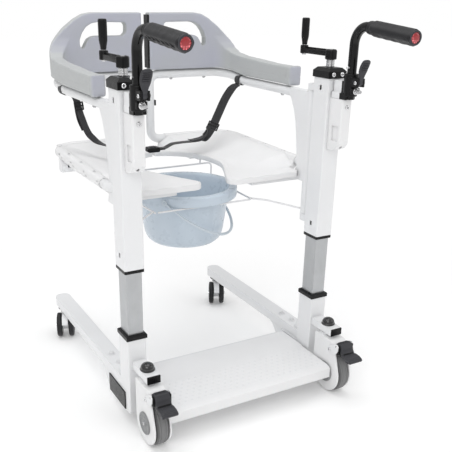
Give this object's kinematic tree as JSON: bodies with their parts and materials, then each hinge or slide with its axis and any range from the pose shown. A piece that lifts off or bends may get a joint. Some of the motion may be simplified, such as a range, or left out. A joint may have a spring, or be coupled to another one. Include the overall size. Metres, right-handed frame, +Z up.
{
  "type": "sit to stand lift",
  "caption": "Wheeled patient lift: hand-cranked telescopic columns carry a split padded seat and backrest that swings open, with a belt, a pan in a wire cradle and a foot board.",
  "frame": {"origin": "on the foot board's top face, midway between the two columns, on the line through the column axes", "axes": "+X to the right seen from the foot board, -Y to the foot board and push handles, +Z up"},
  "size_m": [0.629, 0.8833, 0.972],
  "materials": {
    "white_frame": "satin powder coat",
    "white_plastic": "satin moulded",
    "grey_pad": "fine-grained soft skin",
    "black_plastic": "satin moulded",
    "black_steel": "black powder coat",
    "grip_rubber": "matte ribbed",
    "silver_mast": "brushed",
    "chrome": "polished",
    "steel": "turned",
    "nut_plastic": "natural moulded",
    "tyre_grey": "matte",
    "hub_grey": "satin moulded",
    "pan_blue": "satin gloss",
    "bail_blue": "satin gloss",
    "webbing": "woven strap",
    "cradle_wire": "powder coated wire"
  },
  "bodies": {
    "base": {"left_leg_frame": "white_frame", "right_leg_frame": "white_frame", "cross_tube": "white_frame", "foot_board": "white_plastic", "masts": "silver_mast", "mast_collars": "black_plastic", "lift_nuts": "nut_plastic", "caster_pin_caps": "black_plastic", "tube_plugs": "black_plastic", "frame_bolts": "chrome", "left_front_fork": "white_frame", "right_front_fork": "white_frame", "left_front_axle": "hub_grey", "right_front_axle": "hub_grey"},
    "left_column": {"left_column_tube": "white_frame", "left_column_cap": "black_plastic", "left_column_bush": "black_plastic", "left_handle_bracket": "white_plastic", "left_handle_clamp": "black_plastic", "left_column_fasteners": "chrome"},
    "left_screw": {"left_lead_screw": "steel"},
    "left_crank_arm": {"left_crank": "black_steel"},
    "left_knob": {"left_crank_knob": "black_plastic"},
    "left_push_handle": {"left_push_tube": "black_steel", "left_push_grip": "grip_rubber"},
    "left_release_lever": {"left_clamp_lever": "black_plastic"},
    "left_half": {"left_half_frame": "white_frame", "left_pad": "grey_pad", "left_seat": "white_plastic", "left_cradle": "cradle_wire", "left_belt": "webbing"},
    "left_caster_wheel": {"left_front_wheel": "tyre_grey"},
    "left_pedal": {"left_front_pedal": "black_plastic"},
    "left_rear_swivel": {"left_rear_horn": "white_frame"},
    "left_rear_wheel_pair": {"left_rear_wheels": "tyre_grey"},
    "right_column": {"right_column_tube": "white_frame", "right_column_cap": "black_plastic", "right_column_bush": "black_plastic", "right_handle_bracket": "white_plastic", "right_handle_clamp": "black_plastic", "right_column_fasteners": "chrome"},
    "right_screw": {"right_lead_screw": "steel"},
    "right_crank_arm": {"right_crank": "black_steel"},
    "right_knob": {"right_crank_knob": "black_plastic"},
    "right_push_handle": {"right_push_tube": "black_steel", "right_push_grip": "grip_rubber"},
    "right_release_lever": {"right_clamp_lever": "black_plastic"},
    "right_half": {"right_half_frame": "white_frame", "right_pad": "grey_pad", "right_seat": "white_plastic", "right_cradle": "cradle_wire", "right_belt": "webbing", "latch_block": "black_plastic"},
    "right_caster_wheel": {"right_front_wheel": "tyre_grey"},
    "right_pedal": {"right_front_pedal": "black_plastic"},
    "right_rear_swivel": {"right_rear_horn": "white_frame"},
    "right_rear_wheel_pair": {"right_rear_wheels": "tyre_grey"},
    "latch": {"latch_lever": "black_plastic"},
    "pan": {"commode_pan": "pan_blue"},
    "bail": {"pan_bail": "bail_blue"}
  },
  "joints": [
    {"name": "left_lift", "type": "slide", "parent": "base", "child": "left_column", "axis": [0, 0, 1], "range_m": [-0.16, 0.024]},
    {"name": "left_screw_turn", "type": "hinge", "parent": "left_column", "child": "left_screw", "pos_m": [-0.275, 0, 0.502], "axis": [0, 0, 1], "range_deg": [-7200, 1080]},
    {"name": "left_crank_turn", "type": "hinge", "parent": "left_column", "child": "left_crank_arm", "pos_m": [-0.275, 0, 0.797], "axis": [0, 0, 1], "range_deg": [-150, 150]},
    {"name": "left_knob_spin", "type": "hinge", "parent": "left_crank_arm", "child": "left_knob", "pos_m": [-0.275, 0.112, 0.847], "axis": [0, 0, 1], "continuous": true},
    {"name": "left_handle_swivel", "type": "hinge", "parent": "left_column", "child": "left_push_handle", "pos_m": [-0.277, -0.082, 0.762], "axis": [0, 0, 1], "range_deg": [-90, 90]},
    {"name": "left_lever_release", "type": "hinge", "parent": "left_column", "child": "left_release_lever", "pos_m": [-0.277, -0.113, 0.742], "axis": [1, 0, 0], "range_deg": [0, 110]},
    {"name": "left_half_swing", "type": "hinge", "parent": "left_column", "child": "left_half", "pos_m": [-0.27, 0.056, 0.542], "axis": [0, 0, 1], "range_deg": [0, 90]},
    {"name": "left_front_wheel_roll", "type": "hinge", "parent": "base", "child": "left_caster_wheel", "pos_m": [-0.272, -0.114, -0.032], "axis": [1, 0, 0], "continuous": true},
    {"name": "left_pedal_press", "type": "hinge", "parent": "base", "child": "left_pedal", "pos_m": [-0.272, -0.129, 0.044], "axis": [1, 0, 0], "range_deg": [0, 12]},
    {"name": "left_rear_swivel_turn", "type": "hinge", "parent": "base", "child": "left_rear_swivel", "pos_m": [-0.278, 0.561, -0.008], "axis": [0, 0, 1], "continuous": true},
    {"name": "left_rear_wheel_roll", "type": "hinge", "parent": "left_rear_swivel", "child": "left_rear_wheel_pair", "pos_m": [-0.28803, 0.53486, -0.052], "axis": [0.9336, -0.3584, 0], "continuous": true},
    {"name": "right_lift", "type": "slide", "parent": "base", "child": "right_column", "axis": [0, 0, 1], "range_m": [-0.16, 0.024]},
    {"name": "right_screw_turn", "type": "hinge", "parent": "right_column", "child": "right_screw", "pos_m": [0.275, 0, 0.502], "axis": [0, 0, 1], "range_deg": [-7200, 1080]},
    {"name": "right_crank_turn", "type": "hinge", "parent": "right_column", "child": "right_crank_arm", "pos_m": [0.275, 0, 0.797], "axis": [0, 0, 1], "range_deg": [-150, 150]},
    {"name": "right_knob_spin", "type": "hinge", "parent": "right_crank_arm", "child": "right_knob", "pos_m": [0.275, 0.112, 0.847], "axis": [0, 0, 1], "continuous": true},
    {"name": "right_handle_swivel", "type": "hinge", "parent": "right_column", "child": "right_push_handle", "pos_m": [0.277, -0.082, 0.762], "axis": [0, 0, 1], "range_deg": [-90, 90]},
    {"name": "right_lever_release", "type": "hinge", "parent": "right_column", "child": "right_release_lever", "pos_m": [0.277, -0.113, 0.742], "axis": [1, 0, 0], "range_deg": [0, 110]},
    {"name": "right_half_swing", "type": "hinge", "parent": "right_column", "child": "right_half", "pos_m": [0.27, 0.056, 0.542], "axis": [0, 0, -1], "range_deg": [0, 90]},
    {"name": "right_front_wheel_roll", "type": "hinge", "parent": "base", "child": "right_caster_wheel", "pos_m": [0.272, -0.114, -0.032], "axis": [1, 0, 0], "continuous": true},
    {"name": "right_pedal_press", "type": "hinge", "parent": "base", "child": "right_pedal", "pos_m": [0.272, -0.129, 0.044], "axis": [1, 0, 0], "range_deg": [0, 12]},
    {"name": "right_rear_swivel_turn", "type": "hinge", "parent": "base", "child": "right_rear_swivel", "pos_m": [0.278, 0.561, -0.008], "axis": [0, 0, 1], "continuous": true},
    {"name": "right_rear_wheel_roll", "type": "hinge", "parent": "right_rear_swivel", "child": "right_rear_wheel_pair", "pos_m": [0.26529, 0.53605, -0.052], "axis": [0.891, -0.454, 0], "continuous": true},
    {"name": "latch_lift", "type": "hinge", "parent": "right_half", "child": "latch", "pos_m": [0.0175, 0.546, 0.622], "axis": [0, 1, 0], "range_deg": [0, 60]},
    {"name": "pan_lift", "type": "slide", "parent": "right_half", "child": "pan", "axis": [0, 0, 1], "range_m": [0, 0.003]},
    {"name": "bail_swing", "type": "hinge", "parent": "pan", "child": "bail", "pos_m": [0, 0.265, 0.426], "axis": [-0.712, -0.7022, 0], "range_deg": [-12, 0]}
  ],
  "couplings": [
    {"joint": "right_lift", "follows": "left_lift", "ratio": 1},
    {"joint": "left_screw_turn", "follows": "left_lift", "rad_per_m": 785.4},
    {"joint": "right_screw_turn", "follows": "left_lift", "rad_per_m": 785.4}
  ]
}
